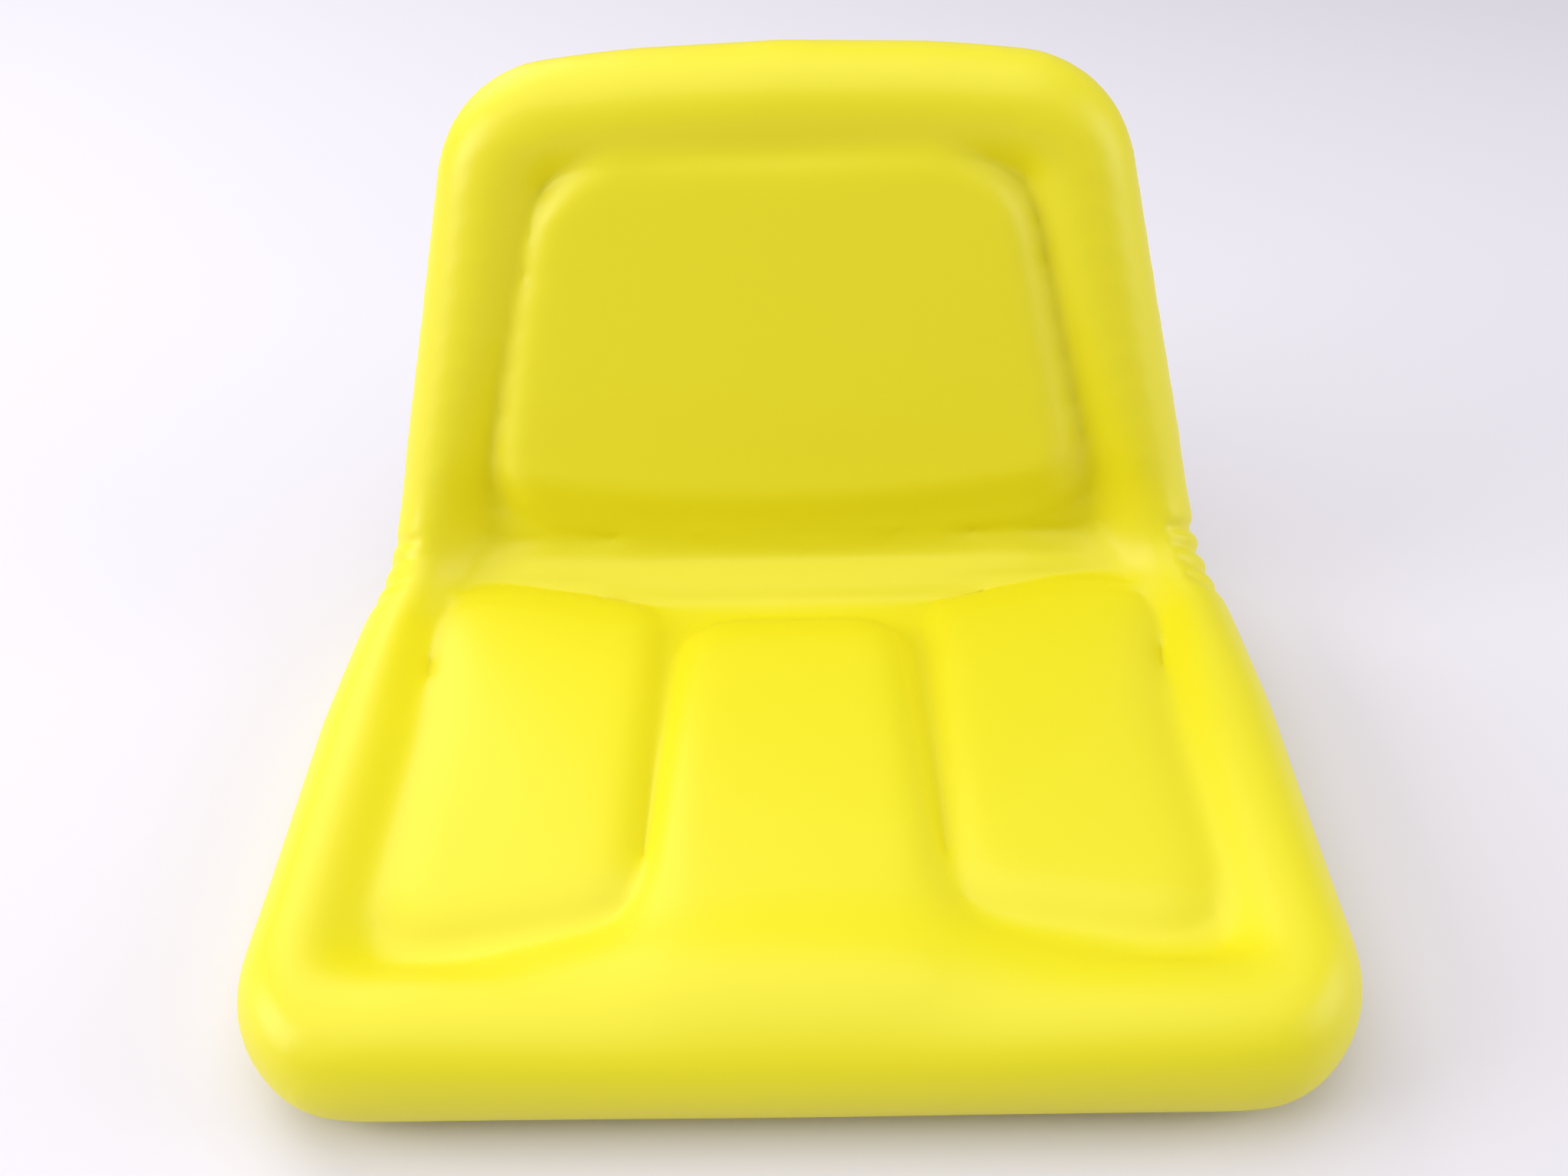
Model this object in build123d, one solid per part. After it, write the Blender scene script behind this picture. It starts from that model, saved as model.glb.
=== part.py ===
"""High-back seat for a garden tractor: one moulded cushion on a pressed steel pan.

Sizes are in millimetres. +Z is up and the sitter faces -Y. The origin is the centre of
the four mounting holes, on the face that bears on the machine.

A place on the seat is given by three measures: x across, run along the pan from the
front lip over the bend and up the back, and rise square to the pan's upper face.
"""
import os
from math import cos, radians, sin, tan

from build123d import *

# Outline of the cushion
SEAT_WIDTH = 495.0
WAIST_WIDTH = 476.0
TOP_WIDTH = 352.0
SEAT_RUN = 307.0
HIP_RUN = 215.0
BEND_RADIUS = 80.0
BACK_TURN = 75.0
BACK_RUN = 256.0
TOP_CROWN = 9.0
FRONT_CORNER = 66.0
TOP_CORNER = 70.0

# Roll round the edge of the cushion, and the foam that it frames
ROLL_RADIUS = 30.0
ROLL_RISE = 27.0
ROLL_BEND = 75.0
GROOVE_RISE = 37.0

# Raised pads of the seat and the back, measured at their foot
PAD_SLOPE = 35.0
PAD_EDGE = 4.0
PAD_MARGIN = 59.0
THIGH_RISE = 47.0
THIGH_INNER = 73.0
THIGH_FRONT = 89.0
THIGH_FRONT_SLANT = 18.0
THIGH_REAR = 300.0
THIGH_REAR_SLANT = 30.0
THIGH_CORNER = 24.0
BACK_PAD_RISE = 46.0
BACK_PAD_FOOT = 8.0
BACK_PAD_SAG = 22.0
BACK_PAD_TOP = 198.0
BACK_PAD_CROWN = 5.0
BACK_PAD_CORNER = 30.0

# Tongue between the thigh pads, and the hump where it meets the front lip
TONGUE_RISE = 53.0
TONGUE_WIDTH = 140.0
TONGUE_REAR_WIDTH = 120.0
TONGUE_REAR = 287.0
TONGUE_CORNER = 28.0
FLARE_RUN = 112.0
FLARE_END = 38.0
FLARE_WIDTH = 240.0
FLARE_CORNER = 18.0
POMMEL_RISE = 62.0
POMMEL_RADIUS = 44.0
POMMEL_END_RADIUS = 28.0
POMMEL_WIDTH = 280.0
POMMEL_MIDDLE = 90.0

# Roll across the bend, placed by its distance and angle from the bend's axis
REAR_ROLL_RADIUS = 34.0
REAR_ROLL_REACH = 72.0
REAR_ROLL_ANGLE = 22.0
REAR_ROLL_BOW = 17.0
REAR_ROLL_WIDTH = 390.0

# Gathers where the edge roll turns up into the back
GATHERS = 4
GATHER_START = 20.0
GATHER_STEP = 10.0
GATHER_WIDTH = 4.5
GATHER_DEPTH = 2.2
GATHER_SHIFT = 2.4

# Pressed steel pan with an upturned edge
SHEET = 1.5
PAN_INSET = 40.0
FLANGE_RISE = 9.0
RAIL_DROP = 4.5
RAIL_WIDTH = 44.0
RAIL_FLARE = 4.0
RAIL_START = 68.0
RAIL_TOP = 40.0

# Mounting holes and the weld nuts over them, for 5/16 inch bolts
HOLE_SPACING_X = 285.75
HOLE_SPACING_Y = 206.375
PATTERN_RUN = 180.0
HOLE_RADIUS = 4.5
NUT_FLATS = 12.7
NUT_HEIGHT = 6.7
NUT_BORE_RADIUS = 3.3
PILOT_PLAY = 0.05
NUT_ROOM = 3.0
BOLT_ROOM = 14.0

TURN = radians(BACK_TURN)
PAN_RISE = RAIL_DROP + SHEET
SEAT = Plane(origin=(0, -PATTERN_RUN, PAN_RISE), x_dir=(1, 0, 0), z_dir=(0, 0, 1))
BACK = Plane(
    origin=SEAT.from_local_coords(
        (0, SEAT_RUN + BEND_RADIUS * sin(TURN), BEND_RADIUS * (1 - cos(TURN)))
    ),
    x_dir=(1, 0, 0),
    z_dir=(0, -sin(TURN), cos(TURN)),
)
BEND_CENTRE = SEAT.from_local_coords((0, SEAT_RUN, BEND_RADIUS))
BEND_AXIS = Axis(BEND_CENTRE, (1, 0, 0))


def seat_half_width(run):
    """Half the cushion's width on the seat, which narrows from the hips to the bend."""
    vertex = SEAT_RUN + BEND_RADIUS * tan(TURN / 2)
    share = max(0.0, (run - HIP_RUN) / (vertex - HIP_RUN))
    return (SEAT_WIDTH + (WAIST_WIDTH - SEAT_WIDTH) * share) / 2


def back_half_width(height):
    """Half the cushion's width on the back, at a height above the end of the bend."""
    vertex = -BEND_RADIUS * tan(TURN / 2)
    share = (height - vertex) / (BACK_RUN - TOP_CROWN - vertex)
    return (WAIST_WIDTH + (TOP_WIDTH - WAIST_WIDTH) * share) / 2


def tube(path, radius):
    """Round bar along a path, mitred at its corners."""
    section = Plane(origin=path @ 0, z_dir=path % 0) * Circle(radius)
    return sweep(section, path=path, transition=Transition.RIGHT)


def bent_slab(inset, low, high):
    """Seat, bend and back in one piece between two rises, inset from the outline."""
    front = SEAT_WIDTH / 2 - inset
    rear = seat_half_width(SEAT_RUN) - inset
    foot = back_half_width(0) - inset
    top = TOP_WIDTH / 2 - inset
    shoulder = BACK_RUN - TOP_CROWN - inset
    seat_face = Polygon(
        (front, inset), (front, HIP_RUN), (rear, SEAT_RUN),
        (-rear, SEAT_RUN), (-front, HIP_RUN), (-front, inset), align=None,
    )
    seat_face = fillet(seat_face.vertices().group_by(Axis.Y)[0], FRONT_CORNER - inset)
    back_face = Polygon(
        (foot, 0), (top, shoulder), (0, BACK_RUN - inset), (-top, shoulder), (-foot, 0), align=None,
    )
    back_face = fillet(back_face.vertices().group_by(Axis.Y)[1], TOP_CORNER - inset)
    section = Plane(
        origin=SEAT.from_local_coords((0, SEAT_RUN, (low + high) / 2)), x_dir=(1, 0, 0), z_dir=(0, -1, 0)
    ) * Rectangle(2 * rear, high - low)
    chord = 2 * BEND_RADIUS * sin(TURN / 2)
    lead = (rear - foot) * BEND_RADIUS / chord
    taper = Plane(
        origin=SEAT.from_local_coords((0, SEAT_RUN, 0)), x_dir=(1, 0, 0),
        z_dir=(0, -sin(TURN / 2), cos(TURN / 2)),
    ) * Polygon(
        (rear + lead, -BEND_RADIUS), (foot - lead, chord + BEND_RADIUS),
        (lead - foot, chord + BEND_RADIUS), (-rear - lead, -BEND_RADIUS), align=None,
    )
    seat = extrude(SEAT.offset(low) * seat_face, high - low)
    bend = revolve(section, BEND_AXIS, BACK_TURN) & extrude(taper, BEND_RADIUS, both=True)
    back = extrude(BACK.offset(low) * back_face, high - low)
    return seat + bend + back


def crease():
    """Ring of V section that cuts one gather, deepest on the outer side of the roll."""
    floor = ROLL_RADIUS + GATHER_SHIFT - GATHER_DEPTH
    rim = floor + 2 * GATHER_DEPTH
    vee = Polyline((floor, 0), (rim, GATHER_WIDTH), (rim, -GATHER_WIDTH), close=True)
    return revolve(Plane.XZ * make_face(vee), Axis.Z)


def roll_bend():
    """Corners of the right edge roll's middle line, from the seat round to the back."""
    lead = (ROLL_RISE + ROLL_BEND - BEND_RADIUS) * tan(TURN / 2)
    start = seat_half_width(SEAT_RUN - lead) - ROLL_RADIUS
    end = back_half_width(lead) - ROLL_RADIUS
    centre = SEAT.from_local_coords((0, SEAT_RUN - lead, ROLL_RISE + ROLL_BEND))
    corners = []
    for angle in [0, *(GATHER_START + GATHER_STEP * i for i in range(GATHERS)), BACK_TURN]:
        swing = radians(angle)
        x = start + (end - start) * angle / BACK_TURN
        corners.append(centre + Vector(x, ROLL_BEND * sin(swing), -ROLL_BEND * cos(swing)))
    return corners


def gathered_roll():
    """Edge roll of the cushion, mitred and creased where it turns up into the back."""
    half = SEAT_WIDTH / 2 - ROLL_RADIUS
    top = TOP_WIDTH / 2 - ROLL_RADIUS
    crest = BACK_RUN - ROLL_RADIUS
    bend = roll_bend()
    right = [
        SEAT.from_local_coords((half, ROLL_RADIUS, ROLL_RISE)),
        SEAT.from_local_coords((half, HIP_RUN, ROLL_RISE)),
        *bend,
        BACK.from_local_coords((top, crest - TOP_CROWN, ROLL_RISE)),
        BACK.from_local_coords((top / 2, crest - TOP_CROWN / 4, ROLL_RISE)),
    ]
    crown = BACK.from_local_coords((0, crest, ROLL_RISE))
    left = [Vector(-p.X, p.Y, p.Z) for p in reversed(right)]
    radii = [FRONT_CORNER - ROLL_RADIUS, 0] + [0] * len(bend) + [TOP_CORNER - ROLL_RADIUS, 0]
    path = FilletPolyline(*right, crown, *left, radius=radii + [0] + radii[::-1], close=True)
    creases = []
    for before, middle, after in zip(bend, bend[1:], bend[2:]):
        place = Plane(origin=middle - Vector(GATHER_SHIFT, 0, 0), z_dir=after - before)
        creases.append(place * crease())
    creases += [mirror(cut, about=Plane.YZ) for cut in creases]
    return tube(path, ROLL_RADIUS) - creases


def raised_pad(plane, outline, rise):
    """Pad with sloping sides and a bevelled edge, standing on the floor of the groove."""
    foot = plane.offset(GROOVE_RISE) * outline
    pad = extrude(foot, rise - GROOVE_RISE, taper=PAD_SLOPE)
    upper = pad.faces().sort_by(Axis(plane.origin, plane.z_dir))[-1]
    return chamfer(upper.edges(), PAD_EDGE)


def thigh_pad():
    """Right thigh pad. Its front and rear edges slant."""
    outer_front = SEAT_WIDTH / 2 - PAD_MARGIN
    outer_rear = seat_half_width(SEAT_RUN) - PAD_MARGIN
    face = Polygon(
        (THIGH_INNER, THIGH_FRONT), (outer_front, THIGH_FRONT - THIGH_FRONT_SLANT),
        (outer_rear, THIGH_REAR + THIGH_REAR_SLANT), (THIGH_INNER, THIGH_REAR), align=None,
    )
    face = fillet(face.vertices(), THIGH_CORNER)
    return raised_pad(SEAT, face, THIGH_RISE)


def back_pad():
    """Pad of the back, with a sagging lower edge and a crowned upper one."""
    foot = back_half_width(BACK_PAD_FOOT) - PAD_MARGIN
    top = back_half_width(BACK_PAD_TOP) - PAD_MARGIN
    low = ThreePointArc((-foot, BACK_PAD_FOOT), (0, BACK_PAD_FOOT - BACK_PAD_SAG), (foot, BACK_PAD_FOOT))
    high = ThreePointArc((top, BACK_PAD_TOP), (0, BACK_PAD_TOP + BACK_PAD_CROWN), (-top, BACK_PAD_TOP))
    face = make_face([low, Line(low @ 1, high @ 0), high, Line(high @ 1, low @ 0)])
    face = fillet(face.vertices(), BACK_PAD_CORNER)
    return raised_pad(BACK, face, BACK_PAD_RISE)


def tongue():
    """Tongue down the middle of the seat, flared into the front lip."""
    rear = Line((TONGUE_REAR_WIDTH / 2, TONGUE_REAR), (-TONGUE_REAR_WIDTH / 2, TONGUE_REAR))
    side = Line(rear @ 1, (-TONGUE_WIDTH / 2, FLARE_RUN))
    flare = TangentArc(side @ 1, (-FLARE_WIDTH / 2, FLARE_END), tangent=side % 1)
    front = Line(flare @ 1, (FLARE_WIDTH / 2, FLARE_END))
    right = [mirror(line, about=Plane.YZ) for line in (side, flare)]
    face = make_face([rear, side, flare, front] + right)
    face = fillet(face.vertices().group_by(Axis.Y)[-1], TONGUE_CORNER)
    face = fillet(face.vertices().group_by(Axis.Y)[0], FLARE_CORNER)
    return raised_pad(SEAT, face, TONGUE_RISE)


def pommel():
    """Hump in the middle of the front lip: the upper part of a bar that tapers to both ends."""
    centre = SEAT.from_local_coords((0, POMMEL_RADIUS, POMMEL_RISE - POMMEL_RADIUS))
    middle = Cylinder(POMMEL_RADIUS, POMMEL_MIDDLE)
    end = Pos(0, 0, POMMEL_MIDDLE / 2) * Cone(
        POMMEL_RADIUS, POMMEL_END_RADIUS, (POMMEL_WIDTH - POMMEL_MIDDLE) / 2,
        align=(Align.CENTER, Align.CENTER, Align.MIN),
    )
    bar = Plane(origin=centre, z_dir=(1, 0, 0)) * (middle + end + mirror(end, about=Plane.XY))
    upper = SEAT * Pos(0, 0, ROLL_RISE) * Box(
        POMMEL_WIDTH, 4 * POMMEL_RADIUS, POMMEL_RISE, align=(Align.CENTER, Align.CENTER, Align.MIN)
    )
    return bar & upper


def rear_roll():
    """Roll across the bend. Its ends lie further up the back than its middle."""
    points = []
    for share in (-1, -2 / 3, -1 / 3, 1 / 3, 2 / 3, 1):
        swing = radians(REAR_ROLL_ANGLE + REAR_ROLL_BOW * share**2)
        reach = Vector(0, REAR_ROLL_REACH * sin(swing), -REAR_ROLL_REACH * cos(swing))
        points.append(BEND_CENTRE + reach + Vector(share * REAR_ROLL_WIDTH / 2, 0, 0))
    return tube(Polyline(*points), REAR_ROLL_RADIUS) & bent_slab(ROLL_RADIUS, 0, BEND_RADIUS - SHEET)


def mounting_places():
    """Places of the mounting holes on the seat plane."""
    return [
        (x, PATTERN_RUN + y)
        for x in (-HOLE_SPACING_X / 2, HOLE_SPACING_X / 2)
        for y in (-HOLE_SPACING_Y / 2, HOLE_SPACING_Y / 2)
    ]


def pressed_rail(x, inset, drop):
    """Body of a flat rail pressed down out of the pan, from the seat over the bend to the back."""
    foot = RAIL_WIDTH / 2 - inset
    mouth = foot + RAIL_FLARE
    start = SEAT.from_local_coords((x, RAIL_START, 0))
    seat_line = Line(start, SEAT.from_local_coords((x, SEAT_RUN, 0)))
    bend = TangentArc(seat_line @ 1, BACK.from_local_coords((x, 0, 0)), tangent=seat_line % 1)
    path = seat_line + bend + Line(bend @ 1, BACK.from_local_coords((x, RAIL_TOP, 0)))
    section = Plane(origin=start, x_dir=(1, 0, 0), z_dir=seat_line % 0) * Polygon(
        (-mouth, drop), (mouth, drop), (foot, drop + RAIL_DROP), (-foot, drop + RAIL_DROP), align=None
    )
    end = Pos(0, 0, -drop) * Cone(
        foot, mouth, RAIL_DROP, align=(Align.CENTER, Align.CENTER, Align.MAX)
    )
    return sweep(section, path=path) + SEAT * Pos(x, RAIL_START) * end + BACK * Pos(x, RAIL_TOP) * end


def seat_pan():
    """Steel pan: bent sheet with an upturned edge and two pressed mounting rails."""
    rails = (-HOLE_SPACING_X / 2, HOLE_SPACING_X / 2)
    pan = bent_slab(PAN_INSET, -SHEET, FLANGE_RISE) - bent_slab(PAN_INSET + SHEET, 0, FLANGE_RISE)
    pan += [pressed_rail(x, 0, SHEET) for x in rails]
    pan -= [pressed_rail(x, SHEET / 2, 0) for x in rails]
    return pan - [SEAT * Pos(x, y) * Cylinder(HOLE_RADIUS, 4 * PAN_RISE) for x, y in mounting_places()]


def weld_nut():
    """Hexagon weld nut, with a pilot that stands in the mounting hole."""
    blank = extrude(RegularPolygon(NUT_FLATS / 2, 6, major_radius=False), NUT_HEIGHT)
    blank += Cylinder(HOLE_RADIUS - PILOT_PLAY, SHEET, align=(Align.CENTER, Align.CENTER, Align.MAX))
    return blank - Cylinder(NUT_BORE_RADIUS, 3 * NUT_HEIGHT)


def weld_nuts():
    """The four weld nuts, on the upper faces of the rails."""
    nut = weld_nut()
    return [SEAT * Pos(x, y, -RAIL_DROP) * nut for x, y in mounting_places()]


def cushion(pan):
    """Moulded cushion, seated on the pan and wrapped round its edge."""
    right = thigh_pad()
    body = gathered_roll() + bent_slab(ROLL_RADIUS, 0, GROOVE_RISE)
    body += [right, mirror(right, about=Plane.YZ), back_pad(), tongue(), pommel(), rear_roll()]
    side = NUT_FLATS + 2 * NUT_ROOM
    pocket = Box(side, side, BOLT_ROOM, align=(Align.CENTER, Align.CENTER, Align.MIN))
    return body - pan - [SEAT * Pos(x, y) * pocket for x, y in mounting_places()]


def main():
    os.makedirs("parts", exist_ok=True)
    pan = seat_pan()
    export_step(cushion(pan), "parts/cushion.step")
    export_step(pan, "parts/seat_pan.step")
    export_step(Compound(children=weld_nuts()), "parts/weld_nuts.step")


if __name__ == "__main__":
    main()
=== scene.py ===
"""Dress the high-back tractor seat for a product picture.

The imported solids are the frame. The soft cushion is a copy of its solid, rounded off and
swollen as foam under a vinyl skin; the steel pan and its nuts keep their solids.
Lengths are in metres, +Z is up and the seat's front lip looks to -Y.
"""

from math import cos, radians, sin

import bpy
import numpy as np
from bpy.props import (
    FloatProperty,
    FloatVectorProperty,
    IntProperty,
    PointerProperty,
)
from mathutils import Matrix, Vector
from mathutils.bvhtree import BVHTree


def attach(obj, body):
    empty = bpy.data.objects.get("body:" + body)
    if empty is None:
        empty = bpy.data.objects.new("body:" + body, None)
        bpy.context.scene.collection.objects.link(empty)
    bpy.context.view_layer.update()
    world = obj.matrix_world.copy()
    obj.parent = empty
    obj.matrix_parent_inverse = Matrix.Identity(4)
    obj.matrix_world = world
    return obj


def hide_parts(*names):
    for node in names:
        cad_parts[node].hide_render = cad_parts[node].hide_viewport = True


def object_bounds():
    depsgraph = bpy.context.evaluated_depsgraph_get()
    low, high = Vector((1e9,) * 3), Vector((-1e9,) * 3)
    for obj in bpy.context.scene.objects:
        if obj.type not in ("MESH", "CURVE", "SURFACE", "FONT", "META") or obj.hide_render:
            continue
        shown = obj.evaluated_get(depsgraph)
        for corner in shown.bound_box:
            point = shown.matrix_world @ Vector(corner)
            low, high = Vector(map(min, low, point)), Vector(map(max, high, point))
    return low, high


bl_info = {
    "name": "High-back seat",
    "version": (1, 0, 0),
    "blender": (4, 5, 0),
    "location": "3D View > Sidebar > Seat",
    "description": "Pads, paints and stages a high-back seat for a garden tractor",
    "category": "Object",
}

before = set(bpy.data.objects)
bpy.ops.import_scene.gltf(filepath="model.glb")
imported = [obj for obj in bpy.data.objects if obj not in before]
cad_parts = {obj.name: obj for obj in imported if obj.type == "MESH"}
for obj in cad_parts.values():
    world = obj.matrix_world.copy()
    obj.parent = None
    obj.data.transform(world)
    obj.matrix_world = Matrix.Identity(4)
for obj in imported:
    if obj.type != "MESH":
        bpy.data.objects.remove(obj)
CAD_BOX = [list(corner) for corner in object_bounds()]
FLOOR_LEVEL = CAD_BOX[0][2]

# Axis of the edge roll's bend, which the gathers fan out from
BEND_Y = 0.1101
BEND_Z = 0.108

# Middle of the saddle where the tongue runs into the front lip
LIP_Y = -0.132
LIP_REACH = 0.105
LIP_DEPTH = 0.040

# Half the outline's width, by place along the seat and by height up the back
SEAT_STATIONS = (0.035, 0.127)
SEAT_HALVES = (0.2475, 0.238)
BACK_STATIONS = (0.08, 0.32)
BACK_HALVES = (0.235, 0.178)

# Foot of the straight back, and the edges of its pad
BACK_Y = 0.2043
BACK_Z = 0.0653
BACK_TURN = radians(75)
BACK_UP = np.array((0, cos(BACK_TURN), sin(BACK_TURN)))
BACK_OUT = np.array((0, -sin(BACK_TURN), cos(BACK_TURN)))
PAD_SHIFT = -0.0045
PAD_MARGIN = 0.0595
PAD_HALF = 0.160
PAD_FOOT = 0.012
PAD_SAG = 0.018
PAD_TOP = 0.213
PAD_EDGE = 0.021
PAD_CORNER = 0.055
PAD_HEEL = 0.030
PAD_SOLE = 0.030

# The rear roll lies in the turn, under the pad of the back
ROLL_SIDE = 0.18
ROLL_SIDE_EASE = 0.05
ROLL_HEIGHT = -0.015
ROLL_REACH = 0.026
ROLL_RISE = 0.009

# The shoulder of the front roll, and how far it gives way in the middle
SHOULDER_Y = -0.157
SHOULDER_Z = 0.062
SHOULDER_REACH = np.array((0.150, 0.020, 0.020))
SHOULDER_OUT = np.array((0, -0.6, 0.8))
SHOULDER_EASE = 0.004

# Where the rolls turn up into the back: angles round the bend, distance from it, and side
TURN_START_EASE = 0.5
TURN_END = 1.8
TURN_END_EASE = 0.6
TURN_RADIUS = 0.115
TURN_RADIUS_EASE = 0.03
TURN_SIDE = 0.16
TURN_SIDE_EASE = 0.04

# The groove between a bolster and its thigh pad, in from the outline
FLANK_INSET = 0.052
FLANK_REACH = 0.022
FLANK_END = 0.08
FLANK_END_EASE = 0.06

# How far the bolsters' inner flanks move outwards, along the seat and up the back
SEAT_DRAW_STATIONS = (0.02, 0.10)
SEAT_DRAWS = (0.005, 0.013)
BACK_DRAW_STATIONS = (0.08, 0.12, 0.19, 0.27)
BACK_DRAWS = (0.013, 0.008, 0.002, 0)
BOLSTER_INSET = 0.055
BOLSTER_REACH = 0.028
RISE_START = 0.08
RISE_EASE = 0.08

# How squarely a surface has to face a way before a change counts in full
FACING_EASE = 0.5
FRONT_LEAN = 0.7
FRONT_SLACK = 0.2
GATHER_SLACK = 0.15
GATHER_EASE = 0.75

# Frames of the cloth run, and steps that spread its swelling over the thick foam
SWELL_FRAMES = 20
SWELL_EVENING = 60
SMOOTHING = 0.5
LEAST_WEIGHT = 0.01

# The folds of the skin are shallower on the left
LEFT_GATHER = 0.45

# Lamps: name, place, target, size and power
LAMPS = (
    ("ceiling_light", (-0.2, 0.02, 1.9), (0, 0, 0.1), 2.3, 22),
    ("rear_light", (-1.3, 1.7, 1.5), (0, 0, 0.1), 1.6, 16),
    ("window_light", (-2.4, -0.45, 1.2), (0, 0.05, 0.15), 1.5, 34),
    ("wall_light", (2.3, -0.2, 1.0), (0, 0.1, 0.15), 1.5, 19),
)
SKY_STRENGTH = 0.48
FLOOR_SIZE = 12
SENSOR_WIDTH = 36.0

MILLIMETRE = 0.001


def linear(code):
    """Linear RGB of an sRGB hex code."""
    channels = [int(code[i:i + 2], 16) / 255 for i in (0, 2, 4)]
    return [c / 12.92 if c <= 0.04045 else ((c + 0.055) / 1.055) ** 2.4 for c in channels]


class CushionSettings(bpy.types.PropertyGroup):
    """Shape and finish of the cushion."""

    voxel: FloatProperty(
        name="Voxel", description="Grain of the remesh that rounds the solid off",
        default=0.005, unit="LENGTH",
    )
    rounding: IntProperty(
        name="Rounding", description="Smoothing steps that soften the edges of the foam", default=12,
    )
    flow: IntProperty(
        name="Flow", description="Smoothing steps where one form runs into the next", default=60,
    )
    plump: FloatProperty(
        name="Plump", description="How much further the back pad stands out than its solid",
        default=0.0095, unit="LENGTH",
    )
    pressure: FloatProperty(
        name="Pressure", description="Push of the foam against its skin", default=4.0,
    )
    swell: FloatProperty(
        name="Swell", description="Furthest that the skin may move outwards",
        default=0.003, unit="LENGTH",
    )
    gathers: IntProperty(
        name="Gathers", description="Folds of the skin on each side of the bend", default=4,
    )
    gather_depth: FloatProperty(
        name="Gather depth", description="Depth of a fold on the outer side of the edge roll",
        default=0.003, unit="LENGTH",
    )
    gather_width: FloatProperty(
        name="Gather width", description="Half the width of a fold", default=0.0035, unit="LENGTH",
    )
    gather_start: FloatProperty(
        name="First gather", description="How far round the bend the first fold lies",
        default=radians(13.5), subtype="ANGLE",
    )
    gather_step: FloatProperty(
        name="Gather step", description="Angle between two folds",
        default=radians(12.4), subtype="ANGLE",
    )
    colour: FloatVectorProperty(
        name="Vinyl", description="Colour of the vinyl skin", subtype="COLOR",
        default=linear("EAE01A"),
    )


class SteelSettings(bpy.types.PropertyGroup):
    """Finish of the steel pieces."""

    paint: FloatVectorProperty(
        name="Paint", description="Colour of the pan's paint", subtype="COLOR",
        default=linear("1B1B1D"),
    )
    zinc: FloatVectorProperty(
        name="Zinc", description="Colour of the weld nuts", subtype="COLOR",
        default=linear("BDBBB3"),
    )


class StageSettings(bpy.types.PropertyGroup):
    """Floor, light and camera."""

    floor: FloatVectorProperty(
        name="Floor", description="Colour of the floor", subtype="COLOR", default=linear("E4E1E8"),
    )
    lens: FloatProperty(name="Lens", description="Focal length in millimetres", default=35.2)
    place: FloatVectorProperty(
        name="Camera place", description="Where the camera stands",
        default=(0.0104, -0.5285, 0.602), subtype="TRANSLATION", unit="LENGTH",
    )
    pitch: FloatProperty(
        name="Pitch", description="How far the camera looks down",
        default=radians(39.79), subtype="ANGLE",
    )
    yaw: FloatProperty(
        name="Yaw", description="How far the camera turns to its right",
        default=radians(-1.38), subtype="ANGLE",
    )
    roll: FloatProperty(
        name="Roll", description="How far the camera tips over",
        default=radians(-1.95), subtype="ANGLE",
    )


def node(tree, kind, links=None, **settings):
    """Add a shader node: settings name its sockets or values, and links the sockets to feed."""
    made = tree.nodes.new(kind)
    for name, value in settings.items():
        socket = made.inputs.get(name.replace("_", " "))
        if socket is None:
            setattr(made, name, value)
        else:
            socket.default_value = value
    for name, source in (links or {}).items():
        tree.links.new(source, made.inputs[name])
    return made


def new_material(name):
    """Empty node material, with its tree."""
    material = bpy.data.materials.new(name)
    material.use_nodes = True
    material.node_tree.nodes.clear()
    return material, material.node_tree


def dress(piece, material):
    """Give a piece one material."""
    piece.data.materials.clear()
    piece.data.materials.append(material)


def satin_vinyl(colour):
    """Moulded PVC skin: an even colour, a soft broad sheen and a very fine leather grain."""
    material, tree = new_material("satin_vinyl")
    place = node(tree, "ShaderNodeTexCoord").outputs["Object"]
    grain = node(
        tree, "ShaderNodeTexNoise", {"Vector": place}, Scale=1 / (1.6 * MILLIMETRE), Detail=2.0,
    )
    bump = node(
        tree, "ShaderNodeBump", {"Height": grain.outputs["Fac"]},
        Strength=0.05, Distance=0.1 * MILLIMETRE,
    )
    skin = node(
        tree, "ShaderNodeBsdfPrincipled", {"Normal": bump.outputs["Normal"]},
        Base_Color=(*colour, 1), Roughness=0.42, IOR=1.5,
    )
    node(tree, "ShaderNodeOutputMaterial", {"Surface": skin.outputs["BSDF"]})
    return material


def black_paint(colour):
    """Stove enamel on pressed steel: near black, half gloss, with a faint orange peel."""
    material, tree = new_material("black_enamel")
    place = node(tree, "ShaderNodeTexCoord").outputs["Object"]
    peel = node(
        tree, "ShaderNodeTexNoise", {"Vector": place}, Scale=1 / (3 * MILLIMETRE), Detail=1.0,
    )
    bump = node(
        tree, "ShaderNodeBump", {"Height": peel.outputs["Fac"]},
        Strength=0.08, Distance=0.1 * MILLIMETRE,
    )
    paint = node(
        tree, "ShaderNodeBsdfPrincipled", {"Normal": bump.outputs["Normal"]},
        Base_Color=(*colour, 1), Roughness=0.38, IOR=1.5,
    )
    node(tree, "ShaderNodeOutputMaterial", {"Surface": paint.outputs["BSDF"]})
    return material


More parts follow.
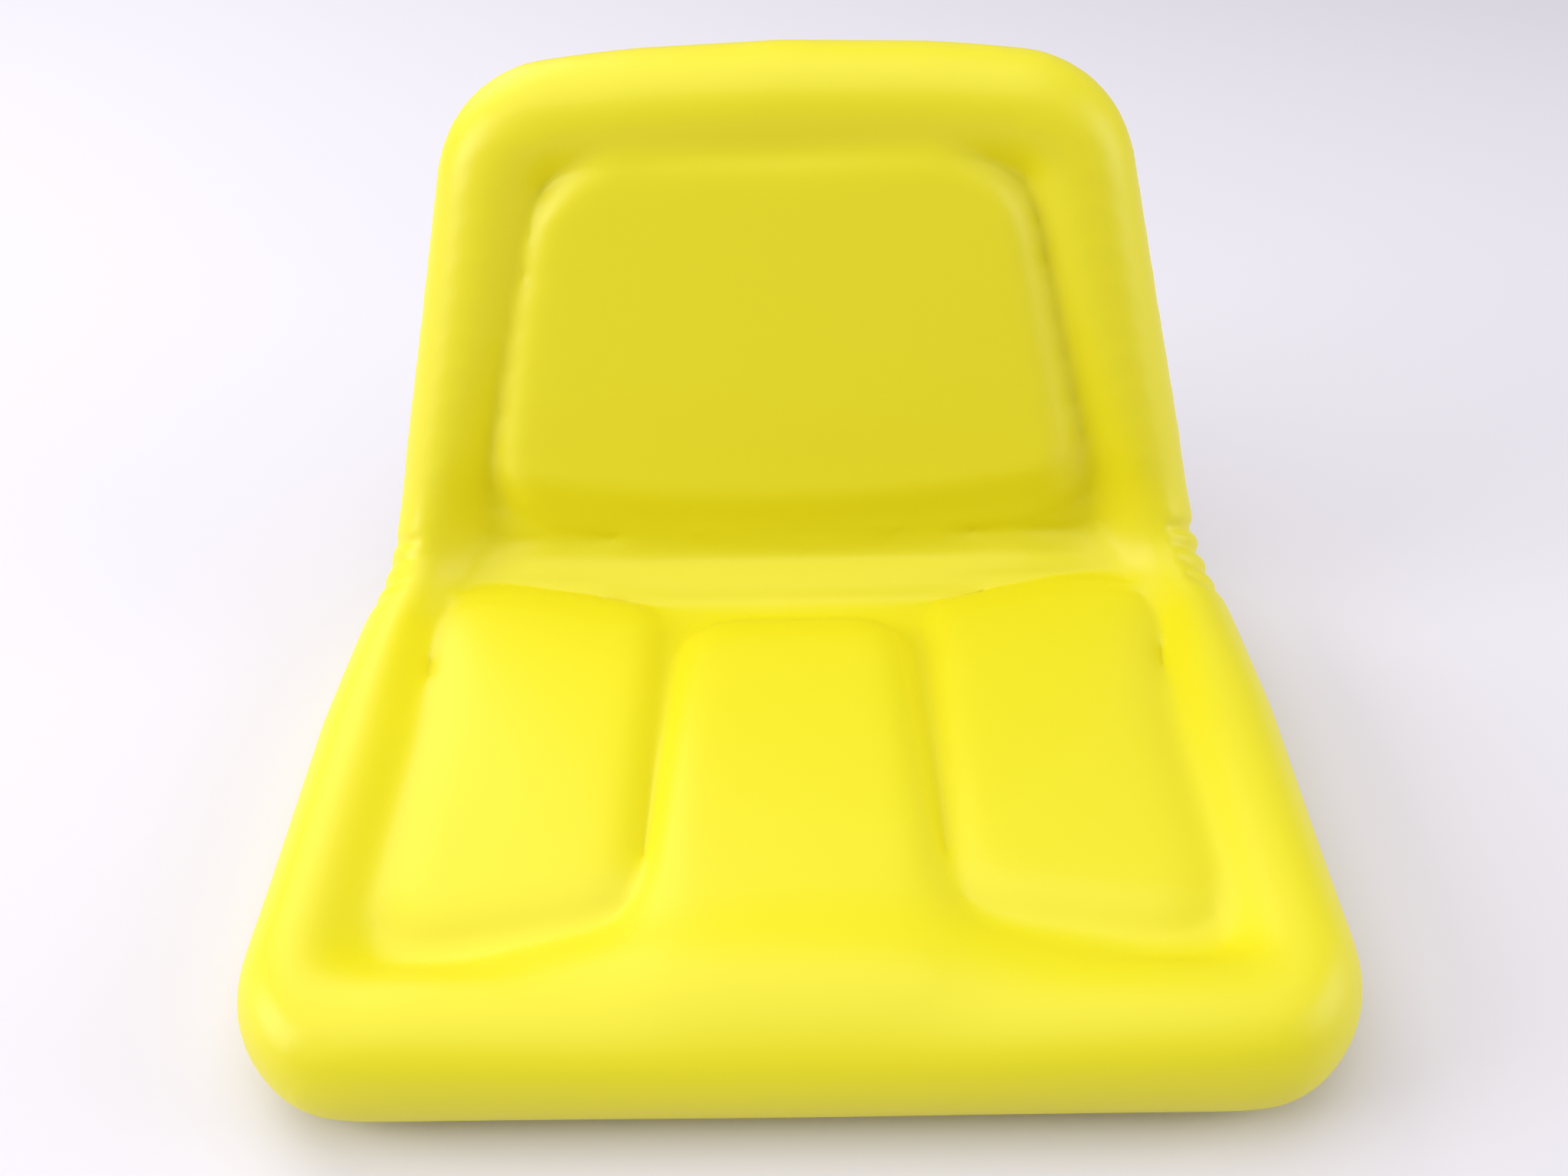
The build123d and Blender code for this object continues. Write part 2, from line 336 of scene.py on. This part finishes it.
def zinc_plate(colour):
    """Zinc on cold-headed steel: a dull bright metal, a little uneven."""
    material, tree = new_material("zinc_plated_steel")
    place = node(tree, "ShaderNodeTexCoord").outputs["Object"]
    mottle = node(
        tree, "ShaderNodeTexNoise", {"Vector": place}, Scale=1 / (2 * MILLIMETRE), Detail=2.0,
    )
    polish = node(
        tree, "ShaderNodeMapRange", {"Value": mottle.outputs["Fac"]}, To_Min=0.3, To_Max=0.45,
    )
    metal = node(
        tree, "ShaderNodeBsdfPrincipled", {"Roughness": polish.outputs["Result"]},
        Base_Color=(*colour, 1), Metallic=1.0,
    )
    node(tree, "ShaderNodeOutputMaterial", {"Surface": metal.outputs["BSDF"]})
    return material


def only(piece):
    """Select one object and make it active."""
    bpy.ops.object.select_all(action="DESELECT")
    piece.hide_set(False)
    piece.select_set(True)
    bpy.context.view_layer.objects.active = piece


def apply_modifier(piece, name, kind, **settings):
    """Add a modifier, set it and apply it."""
    only(piece)
    modifier = piece.modifiers.new(name, kind)
    for key, value in settings.items():
        setattr(modifier, key, value)
    bpy.ops.object.modifier_apply(modifier=name)


def points(mesh):
    """Vertex places of a mesh as an array."""
    flat = np.empty(len(mesh.vertices) * 3)
    mesh.vertices.foreach_get("co", flat)
    return flat.reshape(-1, 3)


def put_points(mesh, places):
    """Move a mesh's vertices."""
    mesh.vertices.foreach_set("co", places.ravel())
    mesh.update()


def bonded_group(piece, carrier, reach):
    """Group the vertices that are bonded to the carrier, and the free rest."""
    tree = BVHTree.FromPolygons(
        [v.co for v in carrier.data.vertices], [p.vertices for p in carrier.data.polygons]
    )
    bonded = [v.index for v in piece.data.vertices if tree.find_nearest(v.co, reach)[0]]
    free = sorted(set(range(len(piece.data.vertices))) - set(bonded))
    piece.vertex_groups.new(name="bonded").add(bonded, 1.0, "REPLACE")
    piece.vertex_groups.new(name="free").add(free, 1.0, "REPLACE")


def even_out(mesh, rises, steps):
    """Average each point's rise with its neighbours', as thick foam takes no small creases."""
    ends = np.empty(len(mesh.edges) * 2, dtype=np.int32)
    mesh.edges.foreach_get("vertices", ends)
    start = np.concatenate((ends[0::2], ends[1::2]))
    end = np.concatenate((ends[1::2], ends[0::2]))
    count = np.bincount(start, minlength=len(rises))
    for _ in range(steps):
        rises = 0.5 * rises + 0.5 * np.bincount(start, rises[end], len(rises)) / count
    return rises


def swell(piece, pressure, limit):
    """Blow the skin up a little against its bond, and cap how far each point rises."""
    rest = points(piece.data)
    normals = np.array([v.normal for v in piece.data.vertices])
    only(piece)
    cloth = piece.modifiers.new("swell", "CLOTH")
    cloth.settings.use_pressure = True
    cloth.settings.uniform_pressure_force = pressure
    cloth.settings.vertex_group_mass = "bonded"
    cloth.settings.effector_weights.gravity = 0
    cloth.point_cache.frame_start = 1
    cloth.point_cache.frame_end = SWELL_FRAMES
    scene = bpy.context.scene
    for step in range(1, SWELL_FRAMES + 1):
        scene.frame_set(step)
    bpy.ops.object.modifier_apply(modifier="swell")
    rises = ((points(piece.data) - rest) * normals).sum(axis=1)
    rises = even_out(piece.data, np.clip(rises, 0, limit), SWELL_EVENING)
    put_points(piece.data, rest + normals * rises[:, None])
    scene.frame_set(1)


def smooth_step(value):
    """Ease from 0 to 1."""
    value = np.clip(value, 0, 1)
    return value * value * (3 - 2 * value)


def soften(piece, name, weights, steps):
    """Smooth a piece where the weights say, as foam flows from one form into the next."""
    group = piece.vertex_groups.new(name=name)
    for index in np.flatnonzero(weights > LEAST_WEIGHT):
        group.add([int(index)], float(weights[index]), "REPLACE")
    apply_modifier(
        piece, name, "SMOOTH", factor=SMOOTHING, iterations=steps, vertex_group=name
    )


def flow_weights(piece):
    """Where the tongue meets the lip, the rolls turn up, and the bolsters meet the thigh pads."""
    x, y, z = points(piece.data).T
    normals = np.array([v.normal for v in piece.data.vertices])
    facing = smooth_step(normals[:, 2] / FACING_EASE)
    lip = np.exp(-(x / LIP_REACH) ** 2 - ((y - LIP_Y) / LIP_DEPTH) ** 2) * facing
    away = np.hypot(y - BEND_Y, z - BEND_Z)
    angle = np.arctan2(y - BEND_Y, BEND_Z - z)
    turn = smooth_step(angle / TURN_START_EASE)
    turn *= smooth_step((TURN_END - angle) / TURN_END_EASE)
    turn *= smooth_step((TURN_RADIUS - away) / TURN_RADIUS_EASE)
    turn *= smooth_step((np.abs(x) - TURN_SIDE) / TURN_SIDE_EASE)
    inset = np.interp(y, SEAT_STATIONS, SEAT_HALVES) - np.abs(x)
    flank = np.exp(-((inset - FLANK_INSET) / FLANK_REACH) ** 2) * facing
    flank *= smooth_step((FLANK_END - y) / FLANK_END_EASE)
    return lip, turn, flank


def narrow_bolsters(piece):
    """Draw the side bolsters in, so that the pads reach further out."""
    places = points(piece.data)
    x, y, z = places.T
    seat_half = np.interp(y, SEAT_STATIONS, SEAT_HALVES)
    back_half = np.interp(z, BACK_STATIONS, BACK_HALVES)
    risen = smooth_step((y - RISE_START) / RISE_EASE)
    half = seat_half * (1 - risen) + back_half * risen
    draw = np.minimum(
        np.interp(y, SEAT_DRAW_STATIONS, SEAT_DRAWS),
        np.interp(z, BACK_DRAW_STATIONS, BACK_DRAWS),
    )
    normals = np.array([v.normal for v in piece.data.vertices])
    lean = (normals[:, 2] - normals[:, 1]) * FRONT_LEAN
    front = smooth_step((lean + FRONT_SLACK) / FACING_EASE)
    bump = np.exp(-((half - np.abs(x) - BOLSTER_INSET) / BOLSTER_REACH) ** 2)
    places[:, 0] += np.sign(x) * draw * bump * front
    put_points(piece.data, places)


def round_lip(piece):
    """Ease the shoulder of the front roll back in the middle, where the legs go over it."""
    places = points(piece.data)
    away = places - (0, SHOULDER_Y, SHOULDER_Z)
    share = np.exp(-((away / SHOULDER_REACH) ** 2).sum(axis=1))
    put_points(piece.data, places - SHOULDER_OUT * (SHOULDER_EASE * share)[:, None])


def corner_depth(across, along, radius):
    """How far inside a rounded corner a point lies, from its distance to each edge."""
    return radius - np.hypot(np.maximum(radius - across, 0), np.maximum(radius - along, 0))


def plump_back_pad(piece, rise):
    """Stand the pad of the back further out of its groove, with a soft edge."""
    places = points(piece.data)
    normals = np.array([v.normal for v in piece.data.vertices])
    height = (places[:, 1] - BACK_Y) * BACK_UP[1] + (places[:, 2] - BACK_Z) * BACK_UP[2]
    side = np.abs(places[:, 0] - PAD_SHIFT)
    half = np.interp(places[:, 2], BACK_STATIONS, BACK_HALVES) - PAD_MARGIN
    low = PAD_FOOT - PAD_SAG * (1 - (side / PAD_HALF) ** 2)
    inside = np.minimum(
        corner_depth(half - side, PAD_TOP - height, PAD_CORNER) / PAD_EDGE,
        corner_depth(half - side, (height - low) * PAD_EDGE / PAD_SOLE, PAD_HEEL) / PAD_EDGE,
    )
    share = rise * smooth_step(inside)
    roll = np.exp(-((height - low - ROLL_HEIGHT) / ROLL_REACH) ** 2)
    share += ROLL_RISE * roll * smooth_step((ROLL_SIDE - side) / ROLL_SIDE_EASE)
    share *= smooth_step(normals @ BACK_OUT / FACING_EASE)
    put_points(piece.data, places + BACK_OUT * share[:, None])


def fold_gathers(piece, look):
    """Press the folds of the skin into the outer side of the edge roll, across the bend."""
    mesh = piece.data
    places = points(mesh)
    normals = np.array([v.normal for v in mesh.vertices])
    across, up = places[:, 1] - BEND_Y, BEND_Z - places[:, 2]
    angle = np.arctan2(across, up)
    radius = np.hypot(across, up)
    outward = normals[:, 0] * np.sign(places[:, 0])
    share = smooth_step((outward + GATHER_SLACK) / GATHER_EASE)
    share *= np.where(places[:, 0] < 0, LEFT_GATHER, 1)
    press = np.zeros(len(places))
    for i in range(look.gathers):
        away = (angle - look.gather_start - look.gather_step * i) * radius / look.gather_width
        press += np.exp(-away * away)
    put_points(mesh, places - normals * (look.gather_depth * share * press)[:, None])


class SEAT_OT_cushion(bpy.types.Operator):
    """Make the soft cushion from its solid and skin it with vinyl"""

    bl_idname = "seat.cushion"
    bl_label = "Pad the cushion"

    def execute(self, context):
        look = context.scene.seat_cushion
        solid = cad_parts["cushion"]
        cushion = bpy.data.objects.new("vinyl_cushion", solid.data.copy())
        context.collection.objects.link(cushion)
        only(cushion)
        bpy.ops.object.mode_set(mode="EDIT")
        bpy.ops.mesh.select_all(action="SELECT")
        bpy.ops.mesh.remove_doubles(threshold=0.01 * MILLIMETRE)
        bpy.ops.object.mode_set(mode="OBJECT")
        apply_modifier(cushion, "remesh", "REMESH", mode="VOXEL", voxel_size=look.voxel)
        bonded_group(cushion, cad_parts["seat_pan"], look.voxel / 2)
        apply_modifier(
            cushion, "round", "SMOOTH", factor=SMOOTHING, iterations=look.rounding,
            vertex_group="free",
        )
        narrow_bolsters(cushion)
        round_lip(cushion)
        plump_back_pad(cushion, look.plump)
        lip, turn, flank = flow_weights(cushion)
        soften(cushion, "lip", lip, look.flow * 2)
        soften(cushion, "turn", turn, look.flow // 2)
        soften(cushion, "flank", flank, look.flow // 3)
        swell(cushion, look.pressure, look.swell)
        apply_modifier(cushion, "refine", "SUBSURF", levels=1, render_levels=1)
        fold_gathers(cushion, look)
        only(cushion)
        bpy.ops.object.shade_smooth()
        dress(cushion, satin_vinyl(look.colour))
        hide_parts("cushion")
        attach(cushion, "root")
        return {"FINISHED"}


class SEAT_OT_pan(bpy.types.Operator):
    """Paint the steel pan"""

    bl_idname = "seat.pan"
    bl_label = "Paint the pan"

    def execute(self, context):
        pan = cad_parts["seat_pan"]
        dress(pan, black_paint(context.scene.seat_steel.paint))
        return {"FINISHED"}


class SEAT_OT_nuts(bpy.types.Operator):
    """Plate the weld nuts"""

    bl_idname = "seat.nuts"
    bl_label = "Plate the nuts"

    def execute(self, context):
        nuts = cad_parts["weld_nuts"]
        dress(nuts, zinc_plate(context.scene.seat_steel.zinc))
        return {"FINISHED"}


def add_softbox(name, place, target, size, power):
    """Square lamp that looks at a point."""
    bpy.ops.object.light_add(type="AREA", location=place)
    lamp = bpy.context.object
    lamp.name = name
    lamp.data.size = size
    lamp.data.energy = power
    lamp.rotation_euler = (Vector(target) - Vector(place)).to_track_quat("-Z", "Y").to_euler()


def add_camera(look):
    """Camera at the picture's viewpoint."""
    flat = cos(look.pitch)
    ahead = Vector((sin(look.yaw) * flat, cos(look.yaw) * flat, -sin(look.pitch)))
    level = Vector((cos(look.yaw), -sin(look.yaw), 0))
    above = level.cross(ahead)
    right = level * cos(look.roll) + above * sin(look.roll)
    top = above * cos(look.roll) - level * sin(look.roll)
    bpy.ops.object.camera_add()
    camera = bpy.context.object
    camera.data.lens = look.lens
    camera.data.sensor_width = SENSOR_WIDTH
    turn = Matrix((right, top, -ahead)).transposed().to_4x4()
    camera.matrix_world = Matrix.Translation(look.place) @ turn
    bpy.context.scene.camera = camera


class SEAT_OT_stage(bpy.types.Operator):
    """Set up the floor, the light and the camera"""

    bl_idname = "seat.stage"
    bl_label = "Set the stage"

    def execute(self, context):
        look = context.scene.seat_stage
        bpy.ops.object.select_all(action="DESELECT")
        bpy.ops.mesh.primitive_plane_add(size=FLOOR_SIZE, location=(0, 0, FLOOR_LEVEL))
        floor = context.object
        floor.name = "floor"
        material, tree = new_material("matt_white_board")
        board = node(
            tree, "ShaderNodeBsdfPrincipled", Base_Color=(*look.floor, 1), Roughness=0.8,
        )
        node(tree, "ShaderNodeOutputMaterial", {"Surface": board.outputs["BSDF"]})
        dress(floor, material)
        for lamp in LAMPS:
            add_softbox(*lamp)
        world = bpy.data.worlds.new("studio")
        world.use_nodes = True
        sky = world.node_tree.nodes["Background"]
        sky.inputs["Color"].default_value = (*look.floor, 1)
        sky.inputs["Strength"].default_value = SKY_STRENGTH
        context.scene.world = world
        context.scene.view_settings.view_transform = "Standard"
        add_camera(look)
        return {"FINISHED"}


class SEAT_PT_panel(bpy.types.Panel):
    """Sidebar panel of the seat"""

    bl_label = "High-back seat"
    bl_idname = "SEAT_PT_panel"
    bl_space_type = "VIEW_3D"
    bl_region_type = "UI"
    bl_category = "Seat"

    def draw(self, context):
        for group in SETTINGS:
            settings = getattr(context.scene, group)
            box = self.layout.box()
            for name in settings.__annotations__:
                box.prop(settings, name)
        for step in STEPS:
            self.layout.operator(step.bl_idname)


SETTINGS = {
    "seat_cushion": CushionSettings,
    "seat_steel": SteelSettings,
    "seat_stage": StageSettings,
}
STEPS = (SEAT_OT_cushion, SEAT_OT_pan, SEAT_OT_nuts, SEAT_OT_stage)


def register():
    for name, settings in SETTINGS.items():
        bpy.utils.register_class(settings)
        setattr(bpy.types.Scene, name, PointerProperty(type=settings))
    for cls in (*STEPS, SEAT_PT_panel):
        bpy.utils.register_class(cls)


def unregister():
    for cls in (SEAT_PT_panel, *reversed(STEPS)):
        bpy.utils.unregister_class(cls)
    for name, settings in SETTINGS.items():
        delattr(bpy.types.Scene, name)
        bpy.utils.unregister_class(settings)


def main():
    register()
    bpy.ops.seat.cushion()
    bpy.ops.seat.pan()
    bpy.ops.seat.nuts()
    bpy.ops.seat.stage()


if __name__ == "__main__":
    main()
